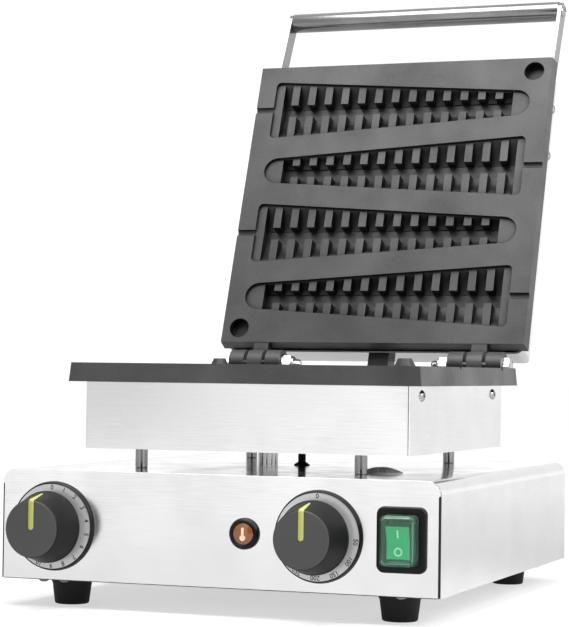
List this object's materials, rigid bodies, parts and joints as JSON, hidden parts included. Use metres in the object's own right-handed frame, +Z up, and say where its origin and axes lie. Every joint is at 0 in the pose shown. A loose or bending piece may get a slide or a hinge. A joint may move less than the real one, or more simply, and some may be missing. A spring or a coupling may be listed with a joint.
{
  "type": "waffle maker",
  "caption": "Countertop electric waffle-on-a-stick maker: steel base with timer, thermostat and switch, raised heater box, hinged lid with moulded plates and a bar handle.",
  "frame": {"origin": "centre of the bounding box at the bottom of the feet, with the lid open", "axes": "+X to the right seen from the front, +Y from the front panel to the back, +Z up"},
  "size_m": [0.3, 0.4925, 0.4609],
  "materials": {
    "stainless_steel": "brushed stainless sheet",
    "zinc_plated_steel": "bright plated",
    "coated_aluminium": "cast, dark non-stick coating",
    "silver_scale": "satin",
    "black_plastic": "moulded",
    "dark_grey_plastic": "moulded",
    "yellow_green_plastic": "moulded",
    "copper": "drawn tube",
    "black_rubber": "moulded",
    "amber_lens": "translucent",
    "clear_silicone": "clear, glossy",
    "green_plastic": "moulded",
    "porcelain": "glazed block",
    "element_sheath": "annealed tubular sheath",
    "mineral_wool": "fibre board"
  },
  "bodies": {
    "base": {"base_shell": "stainless_steel", "front_panel": "stainless_steel", "rear_panel": "stainless_steel", "bottom_plate": "stainless_steel", "bottom_screws": "zinc_plated_steel", "rubber_feet": "black_rubber", "foot_screws": "zinc_plated_steel", "timer_body": "zinc_plated_steel", "timer_bezel": "black_plastic", "timer_scale_ring": "silver_scale", "thermostat_body": "zinc_plated_steel", "thermostat_bezel": "black_plastic", "thermostat_scale_ring": "silver_scale", "thermostat_capillary": "copper", "sensor_sleeve": "black_rubber", "sensor_grommet": "black_rubber", "lamp_bezel": "black_plastic", "lamp_lens": "amber_lens", "lamp_body": "black_plastic", "switch_frame": "black_plastic", "switch_cover": "clear_silicone", "switch_body": "black_plastic", "terminal_block": "porcelain", "mains_gland": "black_plastic", "lid_lead_gland": "black_plastic", "vent_cap": "dark_grey_plastic", "standoff_posts": "zinc_plated_steel", "post_bolts": "zinc_plated_steel", "wiring_fitting": "zinc_plated_steel", "heater_box": "stainless_steel", "heater_box_screws": "zinc_plated_steel", "lower_element": "element_sheath", "lower_clamp_plate": "stainless_steel", "lower_clamp_nuts": "zinc_plated_steel", "lower_insulation": "mineral_wool", "lower_plate": "coated_aluminium", "hinge_bolts": "zinc_plated_steel", "hinge_nuts": "zinc_plated_steel"},
    "lid": {"upper_plate": "coated_aluminium", "lid_cover": "stainless_steel", "lid_cover_nuts": "zinc_plated_steel", "upper_element": "element_sheath", "upper_clamp_plate": "stainless_steel", "upper_clamp_nuts": "zinc_plated_steel", "lid_insulation": "mineral_wool", "handle_arm_left": "stainless_steel", "handle_arm_right": "stainless_steel", "handle_tube": "stainless_steel", "handle_screws": "zinc_plated_steel", "arm_screws": "zinc_plated_steel", "lid_outlet_block": "black_plastic", "lid_outlet_gland": "zinc_plated_steel"},
    "timer_dial": {"timer_shaft": "zinc_plated_steel", "timer_knob": "dark_grey_plastic", "timer_pointer": "yellow_green_plastic"},
    "thermostat_dial": {"thermostat_shaft": "zinc_plated_steel", "thermostat_knob": "dark_grey_plastic", "thermostat_pointer": "yellow_green_plastic"},
    "rocker": {"switch_rocker": "green_plastic"}
  },
  "joints": [
    {"name": "lid_hinge", "type": "hinge", "parent": "base", "child": "lid", "pos_m": [0, 0.09244, 0.1618], "axis": [1, 0, 0], "range_deg": [0, 110.4]},
    {"name": "timer_turn", "type": "hinge", "parent": "base", "child": "timer_dial", "pos_m": [-0.1124, -0.21276, 0.0534], "axis": [0, 1, 0], "range_deg": [0, 300]},
    {"name": "thermostat_turn", "type": "hinge", "parent": "base", "child": "thermostat_dial", "pos_m": [0.0712, -0.21276, 0.0534], "axis": [0, 1, 0], "range_deg": [0, 270]},
    {"name": "rocker_tilt", "type": "hinge", "parent": "base", "child": "rocker", "pos_m": [0.1255, -0.21176, 0.0534], "axis": [1, 0, 0], "range_deg": [-16, 0]}
  ]
}
